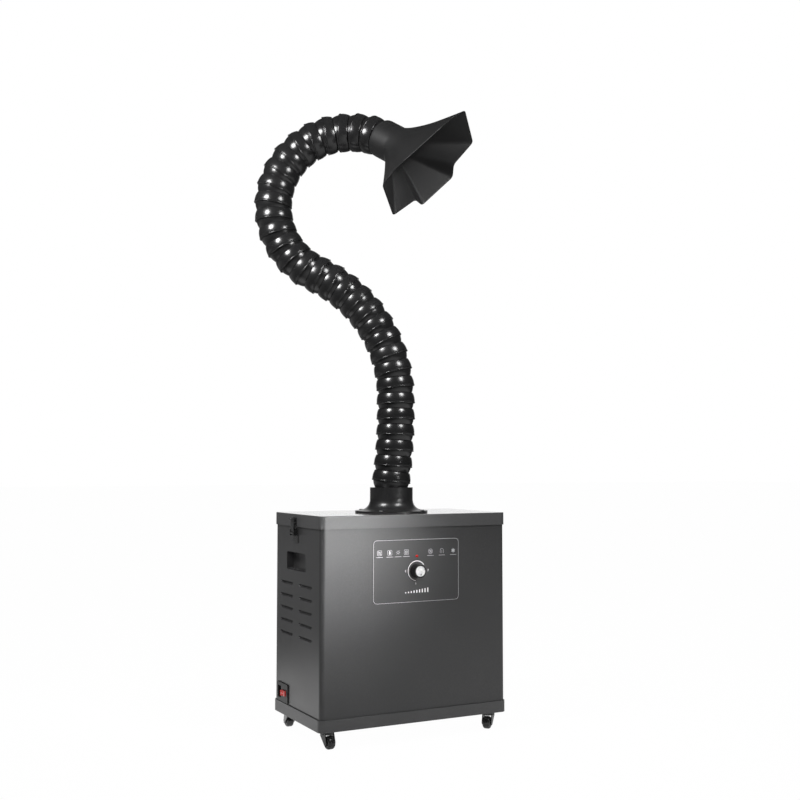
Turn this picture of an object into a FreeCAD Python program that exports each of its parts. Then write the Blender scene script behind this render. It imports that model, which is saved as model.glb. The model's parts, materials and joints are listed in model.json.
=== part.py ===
import FreeCAD, Part
import math
import os

# Fume extractor: a cabinet on casters with a lift-off lid, a jointed suction arm and a hood.
# Frame: Z up, floor at zero, front towards -Y, X to the right seen from the front.

vector = FreeCAD.Vector
x_axis = vector(1, 0, 0)
y_axis = vector(0, 1, 0)
z_axis = vector(0, 0, 1)
centre = vector(0, 0, 0)

# Cabinet, in millimetres.
cabinet_width = 430.0
cabinet_depth = 250.0
cabinet_height = 420.0
sheet = 1.2
seam = 1.3
corner_radius = 12.0
lid_skirt = 26.0
lid_edge_radius = 1.5
tray_rim = 24.0
wall_flange = 14.0
gasket_width = 10.0
gasket_thickness = 2.0
overrun = 6.0
running_fit = 0.3
close_fit = 0.05
parallel_share = 0.99

# Side walls: grip, louvres, latches.
side_centre_y = 7.0
grip_length = 102.0
grip_height = 37.0
grip_depth = 14.0
grip_top_gap = 20.5
grip_corner = 4.0
louvre_rows = 5
louvre_top_gap = 25.5
louvre_pitch = 26.2
louvre_margin = 36.0
louvre_column_gap = 29.0
louvre_radius = 8.0
louvre_sink = 3.5

# Power inlet on the left wall.
inlet_height = 39.0
inlet_back_inset = 21.0
inlet_tray_gap = 1.0
inlet_bezel = 2.5
inlet_corner = 3.0
inlet_border = 3.0
inlet_body_depth = 30.0
socket_end_gap = 5.75
socket_width = 16.5
socket_height = 24.0
socket_depth = 16.0
socket_corner = 2.0
pin_width = 2.0
pin_height = 4.0
pin_length = 11.0
pin_side_spacing = 7.0
pin_middle_offset = 4.0
rocker_end_gap = 9.5
rocker_socket_gap = 6.25
rocker_radius = 10.5
rocker_height = 11.0
rocker_stand = 2.0
rocker_dish = 2.4
rocker_trunnion_radius = 1.5
rocker_trunnion_length = 1.5
rocker_rest_degrees = 9.0

# Front panel, knob and lamp.
panel_width = 200.0
panel_height = 129.0
panel_thickness = 0.8
panel_corner = 5.0
panel_top_gap = 24.0
knob_drop = 0.5
knob_base_radius = 15.0
knob_top_radius = 13.4
knob_length = 15.0
knob_gap = 0.8
knob_hollow_radius = 9.0
knob_hollow_depth = 5.0
knob_flutes = 20
knob_flute_radius = 1.3
cap_radius = 10.5
cap_thickness = 1.2
cap_line_width = 1.4
cap_line_depth = 0.5
shaft_radius = 3.0
shaft_reach = 12.0
pot_radius = 12.0
pot_length = 10.0
bushing_radius = 4.5
bushing_stand = 3.0
board_width = 96.0
board_height = 50.0
board_shelf_gap = 7.0
board_thickness = 1.6
board_chip_width = 22.0
board_chip_height = 14.0
board_chip_depth = 9.0
board_can_radius = 6.0
board_can_length = 18.0
board_part_spacing = 30.0
lamp_rise = 30.0
lamp_radius = 2.6
lamp_stand = 1.2

# Lid latches.
latch_pivot_drop = 12.0
latch_pivot_stand = 7.0
latch_plate_width = 24.0
latch_plate_thickness = 1.5
latch_plate_below = 21.0
latch_plate_above = 8.0
latch_hook_width = 16.0
latch_ear_gap = 0.6
latch_ear_thickness = 2.0
latch_ear_reach = 10.5
latch_ear_half_height = 6.0
latch_pin_radius = 2.0
latch_barrel_radius = 4.0
latch_arm_thickness = 2.5
latch_top_rise = 4.0
latch_tab_thickness = 2.0
latch_tab_reach = 13.5
latch_lip_stand = 4.4
latch_lip_gap = 0.45
keeper_thickness = 1.5
keeper_edge_gap = 4.0
keeper_ridge_rise = 9.0
keeper_ridge_reach = 2.5
keeper_ridge_cover = 6.0

# Inside: shelf, filters and blower.
shelf_pot_gap = 9.0
shelf_flange = 16.0
shelf_corner = 14.0
shelf_hole_gap = 7.0
filter_side_gap = 12.1
filter_front_gap = 8.0
filter_back_gap = 2.0
filter_height = 86.0
filter_rim = 12.0
filter_pleat_depth = 8.0
filter_pleats = 16
prefilter_height = 18.0
prefilter_rim = 8.0
prefilter_recess = 3.0
blower_side_gap = 22.3
blower_height = 110.0
blower_wall = 1.5
blower_outlet_width = 86.0
impeller_side_gap = 14.5
impeller_floor_gap = 10.0
impeller_top_gap = 13.0
impeller_disc = 3.0
impeller_ring_width = 15.0
impeller_blade_thickness = 2.0
impeller_blades = 24
impeller_hub_radius = 13.0
impeller_hub_height = 30.0
motor_radius = 45.0
motor_height = 60.0
motor_shaft_radius = 5.0
motor_shaft_depth = 38.0
motor_lip = 4.0
stand_width = 120.0
stand_thickness = 2.0
stand_foot = 22.0

# Casters.
caster_inset = 28.0
caster_plate_size = 38.0
caster_plate_thickness = 2.0
caster_plate_corner = 4.0
caster_boss_radius = 8.0
caster_boss_height = 2.0
kingpin_radius = 3.0
kingpin_head_radius = 5.0
kingpin_head_height = 1.2
fork_disc_radius = 13.0
fork_disc_thickness = 4.2
fork_cheek_thickness = 2.0
fork_cheek_gap = 0.8
fork_cheek_front = 9.0
fork_cheek_drop = 7.0
fork_axle_margin = 5.0
wheel_radius = 13.0
wheel_top_gap = 1.5
wheel_width = 16.0
wheel_round = 5.0
wheel_groove = 1.0
wheel_hub_radius = 6.0
axle_radius = 2.0
caster_trail = 10.0
caster_turns_degrees = {"front_left": -84.0, "front_right": -138.0,
                        "back_left": 86.0, "back_right": 60.0}

# Inlet flange and its screws.
flange_offset_x = 4.3
flange_radius = 78.0
flange_edge = 3.5
flange_height = 53.0
collar_ball_gap = 3.8
collar_wall = 3.0
collar_flare_height = 30.0
collar_lip = 3.0
lid_bore_step = 3.0
flange_screw_count = 4
flange_screw_inset = 9.0
flange_screw_shank = 1.8
flange_screw_head = 4.2
flange_screw_head_height = 2.4
flange_screw_slot = 1.0
flange_screw_depth = 5.0
screw_pad_radius = 6.5

# Arm links: each has a socket below that rides on the ball of the link before it.
link_pitch = 33.8
ball_radius = 39.2
link_wall = 2.0
link_lip = 6.0
link_lip_chamfer = 0.7
ball_cap = 0.5
shoulder_gap = 0.4
bend_limit_degrees = 15.0
arm_plane_degrees = 27.0
collar_gap = 1.0
sleeve_wall = 3.0

# The route at rest: number of links, then bend per link in the arm's plane and towards the front.
route_degrees = ((1, 6.5, 0.0), (5, -1.66, 0.0), (9, -6.52, 0.0),
                 (1, -1.5, 0.0), (12, 11.78, 0.0), (3, 12.1, 7.7))
hood_bend_degrees = (11.7, 7.9)
# Links that share one file, from the bottom up, to stay within the number of files.
link_group_counts = (3, 3, 3, 3, 2, 2, 2, 2, 1, 1, 1, 1, 1, 1, 1, 1, 1, 1, 1)

# Hood: a round neck and a flared mouth of folded petals.
hood_length = 138.0
hood_neck = 52.0
hood_wall = 2.6
hood_roll_degrees = -10.0
hood_corner = 9.0
flat_corner_degrees = 80.0
hood_tongue_reach = 85.0
hood_tongue_half = 49.0
hood_notch_x = 57.0
hood_notch_y = 61.0
hood_wing_reach = 126.0
hood_wing_half = 46.0
hood_back_reach = 56.0
hood_back_half = 85.0
hood_back_inner_share = 0.38

# Levels and planes that follow from these.
boss_bottom = 2 * wheel_radius + wheel_top_gap + fork_disc_thickness + running_fit
caster_height = boss_bottom + caster_boss_height + caster_plate_thickness
tray_bottom = caster_height
floor_top = tray_bottom + sheet
lid_top = tray_bottom + cabinet_height
lid_under = lid_top - sheet
wall_top = lid_under - gasket_thickness
wall_step = sheet + seam
wall_width = cabinet_width - 2 * wall_step
wall_depth = cabinet_depth - 2 * wall_step
wall_corner = corner_radius - wall_step
side_face = wall_width / 2
side_inner = side_face - sheet
front_face = -wall_depth / 2
front_inner = front_face + sheet
back_inner = -front_inner
panel_face = front_face - panel_thickness
knob_back = panel_face - knob_gap
knob_front = knob_back - knob_length
shaft_tip = knob_back - shaft_reach
pot_back = front_inner + pot_length

# Heights above the tray's underside, worked out downwards from the lid's lower edge.
lid_edge_height = cabinet_height - lid_skirt
keeper_bottom_height = lid_edge_height + keeper_edge_gap
keeper_ridge_height = keeper_bottom_height + keeper_ridge_rise
keeper_top_height = keeper_ridge_height + keeper_ridge_cover
latch_top_height = keeper_ridge_height + latch_top_rise
latch_pivot_height = lid_edge_height - latch_pivot_drop
grip_centre_height = latch_pivot_height - latch_plate_below - grip_top_gap - grip_height / 2
louvre_top_height = grip_centre_height - grip_height / 2 - louvre_top_gap
louvre_length = (wall_depth - louvre_column_gap) / 2 - louvre_margin
panel_centre_height = lid_edge_height - panel_top_gap - panel_height / 2
knob_centre_height = panel_centre_height - knob_drop
lamp_height = knob_centre_height + lamp_rise
shelf_height = knob_centre_height - pot_radius - shelf_pot_gap

# The power inlet, from the cabinet's back and the tray's rim.
inlet_length = socket_end_gap + socket_width + rocker_socket_gap + 2 * rocker_radius + rocker_end_gap
inlet_back = cabinet_depth / 2 - inlet_back_inset
inlet_centre_y = inlet_back - inlet_length / 2
inlet_centre_height = tray_rim + inlet_tray_gap + inlet_height / 2
socket_centre_y = inlet_back - socket_end_gap - socket_width / 2
rocker_centre_y = socket_centre_y - socket_width / 2 - rocker_socket_gap - rocker_radius

# Filters and blower, from the walls and what hangs on them.
shelf_top = tray_bottom + shelf_height
shelf_under = shelf_top - sheet
filter_width = 2 * (side_inner - grip_depth - sheet - filter_side_gap)
filter_front = pot_back + board_thickness + board_can_length + filter_front_gap
filter_back = back_inner - filter_back_gap
filter_depth = filter_back - filter_front
filter_top = shelf_top + filter_height
blower_bottom = shelf_under - blower_height
blower_radius = back_inner - blower_side_gap
blower_outlet_reach = side_inner - blower_side_gap
impeller_radius = blower_radius - blower_wall - impeller_side_gap
impeller_bottom = blower_bottom + blower_wall + impeller_floor_gap
impeller_top = shelf_under - blower_wall - impeller_top_gap
shelf_hole_radius = impeller_radius - impeller_ring_width - shelf_hole_gap
motor_bottom = blower_bottom - motor_height
shaft_bottom = blower_bottom - motor_shaft_depth

# Arm, collar and casters.
socket_radius = ball_radius + running_fit
barrel_radius = socket_radius + link_wall
bend_limit = math.radians(bend_limit_degrees)
lip_outer = math.sqrt(barrel_radius ** 2 - link_lip ** 2)
lip_drop = lip_outer * math.sin(bend_limit) + link_lip * math.cos(bend_limit)
first_ball_rise = lip_drop + collar_gap
flange_top = lid_top + flange_height
flange_screw_circle = flange_radius - flange_screw_inset
collar_bore = ball_radius + collar_ball_gap
collar_radius = collar_bore + collar_wall
lid_bore_radius = collar_bore - lid_bore_step
lip_bore = math.sqrt(ball_radius ** 2 - first_ball_rise ** 2) + running_fit
first_ball_height = flange_top + first_ball_rise
caster_x = cabinet_width / 2 - caster_inset
caster_y = cabinet_depth / 2 - caster_inset


def block(x0, x1, y0, y1, z0, z1):
    return Part.makeBox(x1 - x0, y1 - y0, z1 - z0, vector(x0, y0, z0))


def rod(radius, start, end):
    along = end - start
    return Part.makeCylinder(radius, along.Length, start, along)


def rounded(shape, axis, radius):
    """Rounds a block's edges that run along an axis."""
    edges = [e for e in shape.Edges if abs(e.tangentAt(e.FirstParameter).dot(axis)) > parallel_share]
    return shape.makeFillet(radius, edges)


def prism(points, along):
    """A solid from a closed polygon, pushed along a vector."""
    return Part.Face(Part.makePolygon(points + points[:1])).extrude(along)


def turned(edges):
    """A solid of revolution about Z from a closed run of profile edges."""
    return Part.Face(Part.Wire(edges)).revolve(centre, z_axis, 360)


def profile_point(radius, height):
    return vector(radius, 0, height)


def on_sphere(radius, sphere_height, height):
    """The profile point of a sphere on the axis at a given height."""
    return profile_point(math.sqrt(radius ** 2 - (height - sphere_height) ** 2), height)


def sphere_arc(radius, sphere_height, height_a, height_b):
    middle = (height_a + height_b) / 2
    points = [on_sphere(radius, sphere_height, h) for h in (height_a, middle, height_b)]
    return Part.Arc(*points).toShape()


def placed(shape, position, direction=z_axis, turn_degrees=0.0):
    copy = shape.copy()
    spin = FreeCAD.Rotation(z_axis, turn_degrees)
    copy.Placement = FreeCAD.Placement(position, FreeCAD.Rotation(z_axis, direction).multiply(spin))
    return copy


def mirrored(shape):
    return shape.mirror(centre, x_axis)


def at(x, y, height):
    """A point from a height above the tray's underside."""
    return vector(x, y, tray_bottom + height)


# Cabinet sheet metal.
def cabinet_prism(width, depth, radius, z0, z1):
    return rounded(block(-width / 2, width / 2, -depth / 2, depth / 2, z0, z1), z_axis, radius)


def capsule(radius, x, y0, y1, z):
    start = vector(x, y0 + louvre_radius, z)
    end = vector(x, y1 - louvre_radius, z)
    ends = [Part.makeSphere(radius, start), Part.makeSphere(radius, end)]
    return rod(radius, start, end).fuse(ends)


def louvre(y0, row):
    """One louvre of the left wall, pressed inwards and open at its top, and the hollow in front of it."""
    z = tray_bottom + louvre_top_height - row * louvre_pitch
    x = -side_face - louvre_sink
    y1 = y0 + louvre_length
    reach = louvre_radius + overrun
    lower = block(-side_face, -side_face + reach, y0 - overrun, y1 + overrun, z - reach, z)
    mouth = block(-side_face - overrun, -side_face + reach, y0 - overrun, y1 + overrun, z - reach, z)
    pressed = capsule(louvre_radius, x, y0, y1, z).common(lower)
    hollow = capsule(louvre_radius - sheet, x, y0, y1, z).common(mouth)
    return pressed, hollow


def grip_opening(depth_start, depth_end, margin):
    half_length = grip_length / 2 + margin
    half_height = grip_height / 2 + margin
    z = tray_bottom + grip_centre_height
    body = block(depth_start, depth_end, side_centre_y - half_length, side_centre_y + half_length,
                 z - half_height, z + half_height)
    return rounded(body, x_axis, grip_corner + margin)


def inlet_block(x0, x1, margin):
    half_length = inlet_length / 2 - margin
    half_height = inlet_height / 2 - margin
    z = tray_bottom + inlet_centre_height
    body = block(x0, x1, inlet_centre_y - half_length, inlet_centre_y + half_length,
                 z - half_height, z + half_height)
    return rounded(body, x_axis, inlet_corner)


def make_cabinet():
    shell = cabinet_prism(wall_width, wall_depth, wall_corner, floor_top, wall_top)
    inner_width = wall_width - 2 * sheet
    inner_depth = wall_depth - 2 * sheet
    hollow = cabinet_prism(inner_width, inner_depth, wall_corner - sheet,
                           floor_top - overrun, wall_top - sheet)
    mouth = cabinet_prism(inner_width - 2 * wall_flange, inner_depth - 2 * wall_flange,
                          wall_corner - sheet, floor_top, wall_top + overrun)
    shell = shell.cut([hollow, mouth])
    dents = []
    slots = []
    for y0 in (side_centre_y - louvre_column_gap / 2 - louvre_length, side_centre_y + louvre_column_gap / 2):
        for row in range(louvre_rows):
            dent, slot = louvre(y0, row)
            dents += [dent, mirrored(dent)]
            slots += [slot, mirrored(slot)]
    grip = grip_opening(-side_face - overrun, -side_inner + overrun, 0)
    inlet = inlet_block(-side_face - overrun, -side_inner + overrun, inlet_border - running_fit)
    front_start = vector(0, front_face - overrun, 0)
    front_end = vector(0, front_inner + overrun, 0)
    knob_hole = rod(bushing_radius + running_fit, front_start + at(0, 0, knob_centre_height),
                    front_end + at(0, 0, knob_centre_height))
    lamp_hole = rod(lamp_radius + running_fit, front_start + at(0, 0, lamp_height),
                    front_end + at(0, 0, lamp_height))
    shell = shell.fuse(dents)
    shell = shell.cut(slots + [grip, mirrored(grip), inlet, knob_hole, lamp_hole])
    return shell.removeSplitter()


def make_tray():
    pan = cabinet_prism(cabinet_width, cabinet_depth, corner_radius, tray_bottom, tray_bottom + tray_rim)
    hollow = cabinet_prism(cabinet_width - 2 * sheet, cabinet_depth - 2 * sheet, corner_radius - sheet,
                           floor_top, tray_bottom + tray_rim + overrun)
    return pan.cut(hollow)


def make_lid():
    pan = cabinet_prism(cabinet_width, cabinet_depth, corner_radius, lid_top - lid_skirt, lid_top)
    top_edges = [e for e in pan.Edges if e.BoundBox.ZMin > lid_under]
    pan = pan.makeFillet(lid_edge_radius, top_edges)
    hollow = cabinet_prism(cabinet_width - 2 * sheet, cabinet_depth - 2 * sheet, corner_radius - sheet,
                           lid_top - lid_skirt - overrun, lid_under)
    flange_centre = vector(flange_offset_x, 0, 0)
    bore = rod(lid_bore_radius, flange_centre + vector(0, 0, lid_under - overrun),
               flange_centre + vector(0, 0, lid_top + overrun))
    holes = [rod(flange_screw_shank + running_fit, p + vector(0, 0, lid_under - overrun),
                 p + vector(0, 0, lid_top + overrun)) for p in screw_places()]
    return pan.cut([hollow, bore] + holes)


def make_gasket():
    width = wall_width - 2 * sheet
    depth = wall_depth - 2 * sheet
    ring = cabinet_prism(width, depth, wall_corner, wall_top, lid_under)
    hole = cabinet_prism(width - 2 * gasket_width, depth - 2 * gasket_width, wall_corner,
                         wall_top - overrun, lid_under + overrun)
    return ring.cut(hole)


def make_grip_cup():
    outer = grip_opening(-side_inner, -side_inner + grip_depth + sheet, sheet)
    inner = grip_opening(-side_inner - overrun, -side_inner + grip_depth, 0)
    return outer.cut(inner)


# Power inlet and its rocker switch.
def rocker_pivot():
    return at(-side_face - inlet_bezel + rocker_stand, rocker_centre_y, inlet_centre_height)


def make_inlet():
    body = inlet_block(-side_face, -side_face + inlet_body_depth, inlet_border)
    body = body.fuse(inlet_block(-side_face - inlet_bezel, -side_face, 0))
    z = tray_bottom + inlet_centre_height
    outer = -side_face - inlet_bezel
    floor = outer + socket_depth
    socket = rounded(block(outer - overrun, floor, socket_centre_y - socket_width / 2,
                           socket_centre_y + socket_width / 2, z - socket_height / 2,
                           z + socket_height / 2), x_axis, socket_corner)
    pocket_half = rocker_radius + 2 * running_fit
    slot_half = rocker_height / 2 + running_fit
    pocket = block(outer - overrun, rocker_pivot().x + pocket_half, rocker_centre_y - pocket_half,
                   rocker_centre_y + pocket_half, z - slot_half, z + slot_half)
    bearing_half = slot_half + rocker_trunnion_length
    bearing = rod(rocker_trunnion_radius + running_fit, rocker_pivot() - z_axis * bearing_half,
                  rocker_pivot() + z_axis * bearing_half)
    body = body.cut([socket, pocket, bearing])
    pins = []
    places = ((pin_middle_offset, 0), (-pin_middle_offset, pin_side_spacing),
              (-pin_middle_offset, -pin_side_spacing))
    for across, up in places:
        y = socket_centre_y + across
        pins.append(block(floor - pin_length, floor, y - pin_width / 2, y + pin_width / 2,
                          z + up - pin_height / 2, z + up + pin_height / 2))
    return body.fuse(pins).removeSplitter()


def make_rocker():
    pivot = rocker_pivot()
    half = rocker_height / 2
    base = pivot - z_axis * half
    drum = rod(rocker_radius, base, base + z_axis * rocker_height)
    face = pivot.x - rocker_stand - rocker_dish
    reach = rocker_radius + overrun
    slope = rocker_dish * reach / rocker_radius
    points = [vector(pivot.x + reach, pivot.y - reach, base.z), vector(face - slope, pivot.y - reach, base.z),
              vector(face + rocker_dish - slope / 2, pivot.y, base.z),
              vector(face - slope, pivot.y + reach, base.z), vector(pivot.x + reach, pivot.y + reach, base.z)]
    drum = drum.common(prism(points, z_axis * rocker_height))
    pin_half = half + rocker_trunnion_length
    pins = rod(rocker_trunnion_radius, pivot - z_axis * pin_half, pivot + z_axis * pin_half)
    drum = drum.fuse(pins)
    drum.rotate(pivot, z_axis, rocker_rest_degrees)
    return drum


# Front panel, speed knob and what is behind it.
def front_rod(radius, y0, y1, height):
    return rod(radius, at(0, y0, height), at(0, y1, height))


def make_panel():
    z = tray_bottom + panel_centre_height
    plate = rounded(block(-panel_width / 2, panel_width / 2, panel_face, front_face,
                          z - panel_height / 2, z + panel_height / 2), y_axis, panel_corner)
    knob_hole = front_rod(bushing_radius + running_fit, panel_face - overrun, front_inner, knob_centre_height)
    lamp_hole = front_rod(lamp_radius + running_fit, panel_face - overrun, front_inner, lamp_height)
    return plate.cut([knob_hole, lamp_hole])


def make_pot():
    can = front_rod(pot_radius, front_inner, pot_back, knob_centre_height)
    bushing = front_rod(bushing_radius, panel_face - bushing_stand, front_inner, knob_centre_height)
    bore = front_rod(shaft_radius + running_fit, panel_face - bushing_stand - overrun,
                     pot_back - board_thickness, knob_centre_height)
    return can.fuse(bushing).cut(bore).removeSplitter()


def make_shaft():
    return front_rod(shaft_radius, shaft_tip, pot_back - board_thickness - running_fit, knob_centre_height)


def make_knob():
    base = at(0, knob_back, knob_centre_height)
    body = Part.makeCone(knob_base_radius, knob_top_radius, knob_length, base, -y_axis)
    hollow = front_rod(knob_hollow_radius, knob_back - knob_hollow_depth, knob_back + overrun,
                       knob_centre_height)
    bore = front_rod(shaft_radius + close_fit, shaft_tip - running_fit, knob_back, knob_centre_height)
    seat = front_rod(cap_radius + close_fit, knob_front - overrun, knob_front + cap_thickness / 2,
                     knob_centre_height)
    flutes = []
    for i in range(knob_flutes):
        angle = 2 * math.pi * i / knob_flutes
        x = knob_base_radius * math.cos(angle)
        z = knob_centre_height + knob_base_radius * math.sin(angle)
        flutes.append(rod(knob_flute_radius, at(x, knob_front - overrun, z),
                          at(x, knob_back - knob_hollow_depth / 2, z)))
    return body.cut([hollow, bore, seat] + flutes)


def make_cap():
    cap = front_rod(cap_radius, knob_front - cap_thickness / 2, knob_front + cap_thickness / 2,
                    knob_centre_height)
    z = tray_bottom + knob_centre_height
    face = knob_front - cap_thickness / 2
    line = block(-cap_line_width / 2, cap_line_width / 2, face - overrun, face + cap_line_depth,
                 z, z + cap_radius + overrun)
    return cap.cut(line)


def make_board():
    z = shelf_top + board_shelf_gap + board_height / 2
    back = pot_back + board_thickness
    plate = block(-board_width / 2, board_width / 2, pot_back, back, z - board_height / 2, z + board_height / 2)
    parts = []
    for side in (-1, 1):
        x = side * board_part_spacing
        parts.append(block(x - board_chip_width / 2, x + board_chip_width / 2, back, back + board_chip_depth,
                           z, z + board_chip_height))
        parts.append(rod(board_can_radius, vector(x, back, z - board_chip_height),
                         vector(x, back + board_can_length, z - board_chip_height)))
    return plate.fuse(parts).removeSplitter()


def make_lamp():
    tip = panel_face - lamp_stand
    stem = front_rod(lamp_radius, tip, pot_back, lamp_height)
    return stem.fuse(Part.makeSphere(lamp_radius, at(0, tip, lamp_height)))


# Latches: a base on the wall, a swinging hook, a keeper on the lid.
def latch_prism(points, half_width):
    corners = [at(-side_face - out, side_centre_y - half_width, height) for out, height in points]
    return prism(corners, y_axis * (2 * half_width))


def latch_rod(radius, half_width):
    place = at(-side_face - latch_pivot_stand, side_centre_y, latch_pivot_height)
    return rod(radius, place - y_axis * half_width, place + y_axis * half_width)


def make_latch_base():
    bottom = latch_pivot_height - latch_plate_below
    top = latch_pivot_height + latch_plate_above
    base = latch_prism([(0, bottom), (latch_plate_thickness, bottom), (latch_plate_thickness, top), (0, top)],
                       latch_plate_width / 2)
    ear_inner = latch_hook_width / 2 + latch_ear_gap
    ear_outer = ear_inner + latch_ear_thickness
    low = latch_pivot_height - latch_ear_half_height
    high = latch_pivot_height + latch_ear_half_height
    ears = latch_prism([(0, low), (latch_ear_reach, low), (latch_ear_reach, high), (0, high)], ear_outer)
    slot = latch_prism([(latch_plate_thickness, low - overrun), (latch_ear_reach + overrun, low - overrun),
                        (latch_ear_reach + overrun, high + overrun),
                        (latch_plate_thickness, high + overrun)], ear_inner)
    return base.fuse([ears.cut(slot), latch_rod(latch_pin_radius, ear_outer)]).removeSplitter()


def keeper_slope(out):
    """Height of the keeper's sloped upper face."""
    return keeper_ridge_height - (out - wall_step - keeper_thickness)


def make_latch_hook():
    inner = latch_pivot_stand
    outer = latch_pivot_stand + latch_arm_thickness
    tab_bottom = latch_top_height - latch_tab_thickness
    points = [(inner, latch_pivot_height), (inner, keeper_slope(inner) + latch_lip_gap),
              (latch_lip_stand, keeper_slope(latch_lip_stand) + latch_lip_gap),
              (latch_lip_stand, latch_top_height), (latch_tab_reach, latch_top_height),
              (latch_tab_reach, tab_bottom), (outer, tab_bottom), (outer, latch_pivot_height)]
    half = latch_hook_width / 2
    hook = latch_prism(points, half).fuse(latch_rod(latch_barrel_radius, half))
    return hook.cut(latch_rod(latch_pin_radius + running_fit, half + overrun)).removeSplitter()


def make_keeper():
    back = wall_step
    front = wall_step + keeper_thickness
    points = [(back, keeper_bottom_height), (front, keeper_bottom_height),
              (front, keeper_ridge_height - 2 * keeper_ridge_reach),
              (front + keeper_ridge_reach, keeper_ridge_height - keeper_ridge_reach),
              (front, keeper_ridge_height), (front, keeper_top_height), (back, keeper_top_height)]
    return latch_prism(points, latch_hook_width / 2)


# Shelf, filters, blower and motor.
def make_shelf():
    # The plate meets all four walls; its side flanges stand clear of the louvres.
    half_width = side_face - (louvre_radius - louvre_sink) - running_fit
    half_depth = wall_depth / 2 - sheet
    bottom = shelf_top - shelf_flange
    plate = block(-side_inner, side_inner, -half_depth, half_depth, shelf_under, shelf_top)
    flanges = block(-half_width, half_width, -half_depth, half_depth, bottom, shelf_under)
    hollow = block(-half_width + sheet, half_width - sheet, -half_depth + sheet, half_depth - sheet,
                   bottom - overrun, shelf_under)
    hole = rod(shelf_hole_radius, vector(0, 0, bottom - overrun), vector(0, 0, shelf_top + overrun))
    corners = []
    for x in (-side_inner, side_inner):
        for y in (-half_depth, half_depth):
            corners.append(block(x - shelf_corner, x + shelf_corner, y - shelf_corner, y + shelf_corner,
                                 bottom - overrun, shelf_top + overrun))
    return plate.fuse(flanges).cut([hollow, hole] + corners)


def make_filter():
    half = filter_width / 2
    box = block(-half, half, filter_front, filter_back, shelf_top, filter_top)
    inner_half = half - filter_rim
    pitch = 2 * inner_half / filter_pleats
    grooves = []
    for i in range(filter_pleats):
        x = -inner_half + i * pitch
        for z, depth in ((filter_top, -filter_pleat_depth), (shelf_top, filter_pleat_depth)):
            points = [vector(x, filter_front + filter_rim, z),
                      vector(x + pitch / 2, filter_front + filter_rim, z + depth),
                      vector(x + pitch, filter_front + filter_rim, z)]
            grooves.append(prism(points, y_axis * (filter_depth - 2 * filter_rim)))
    return box.cut(grooves)


def make_prefilter():
    half = filter_width / 2
    pad = block(-half, half, filter_front, filter_back, filter_top, filter_top + prefilter_height)
    recess = block(-half + prefilter_rim, half - prefilter_rim, filter_front + prefilter_rim,
                   filter_back - prefilter_rim, filter_top + prefilter_height - prefilter_recess,
                   filter_top + prefilter_height + overrun)
    return pad.cut(recess)


def upright(radius, z0, z1):
    return rod(radius, vector(0, 0, z0), vector(0, 0, z1))


def make_blower():
    half = blower_outlet_width / 2
    drum = upright(blower_radius, blower_bottom, shelf_under)
    duct = block(-blower_outlet_reach, 0, -blower_radius, -blower_radius + 2 * half, blower_bottom, shelf_under)
    hollow = upright(blower_radius - blower_wall, blower_bottom + blower_wall, shelf_under - blower_wall)
    duct_hollow = block(-blower_outlet_reach - overrun, 0, -blower_radius + blower_wall,
                        -blower_radius + 2 * half - blower_wall, blower_bottom + blower_wall,
                        shelf_under - blower_wall)
    eye = upright(shelf_hole_radius, shelf_under - blower_wall - overrun, shelf_under + overrun)
    shaft_hole = upright(motor_shaft_radius + 2 * blower_wall, blower_bottom - overrun, shelf_under)
    return drum.fuse(duct).cut([hollow.fuse(duct_hollow), eye, shaft_hole]).removeSplitter()


def make_impeller():
    inner = impeller_radius - impeller_ring_width
    disc = upright(impeller_radius, impeller_bottom, impeller_bottom + impeller_disc)
    hub = upright(impeller_hub_radius, impeller_bottom, impeller_bottom + impeller_hub_height)
    ring = upright(impeller_radius, impeller_top - impeller_disc, impeller_top)
    ring = ring.cut(upright(inner, impeller_bottom, impeller_top + overrun))
    blades = []
    for i in range(impeller_blades):
        blade = block(inner + impeller_disc, impeller_radius - impeller_disc, -impeller_blade_thickness / 2,
                      impeller_blade_thickness / 2, impeller_bottom + impeller_disc,
                      impeller_top - impeller_disc)
        blade.rotate(centre, z_axis, 360.0 * i / impeller_blades)
        blades.append(blade)
    wheel = disc.fuse([hub, ring] + blades)
    bore = upright(motor_shaft_radius + close_fit, impeller_bottom - overrun, impeller_top)
    return wheel.cut(bore)


def make_motor_shaft():
    return upright(motor_shaft_radius, shaft_bottom + running_fit, impeller_bottom + impeller_hub_height)


def make_motor():
    body = upright(motor_radius, motor_bottom, blower_bottom - motor_lip)
    lip = upright(motor_radius + motor_lip, blower_bottom - motor_lip, blower_bottom)
    bore = upright(motor_shaft_radius + running_fit, shaft_bottom, blower_bottom + overrun)
    return body.fuse(lip).cut(bore).removeSplitter()


def make_stand():
    half = stand_width / 2
    bridge = block(-half, half, -half, half, floor_top, motor_bottom)
    hollow = block(-half + stand_thickness, half - stand_thickness, -half - overrun, half + overrun,
                   floor_top - overrun, motor_bottom - stand_thickness)
    feet = [block(-half - stand_foot, -half, -half, half, floor_top, floor_top + stand_thickness),
            block(half, half + stand_foot, -half, half, floor_top, floor_top + stand_thickness)]
    return bridge.cut(hollow).fuse(feet).removeSplitter()


# Casters, made about their kingpin with the wheel trailing towards +X.
caster_places = {"front_left": (-caster_x, -caster_y), "front_right": (caster_x, -caster_y),
                 "back_left": (-caster_x, caster_y), "back_right": (caster_x, caster_y)}
fork_top = boss_bottom - running_fit
fork_under = fork_top - fork_disc_thickness
cheek_inner = wheel_width / 2 + fork_cheek_gap
cheek_outer = cheek_inner + fork_cheek_thickness


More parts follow.
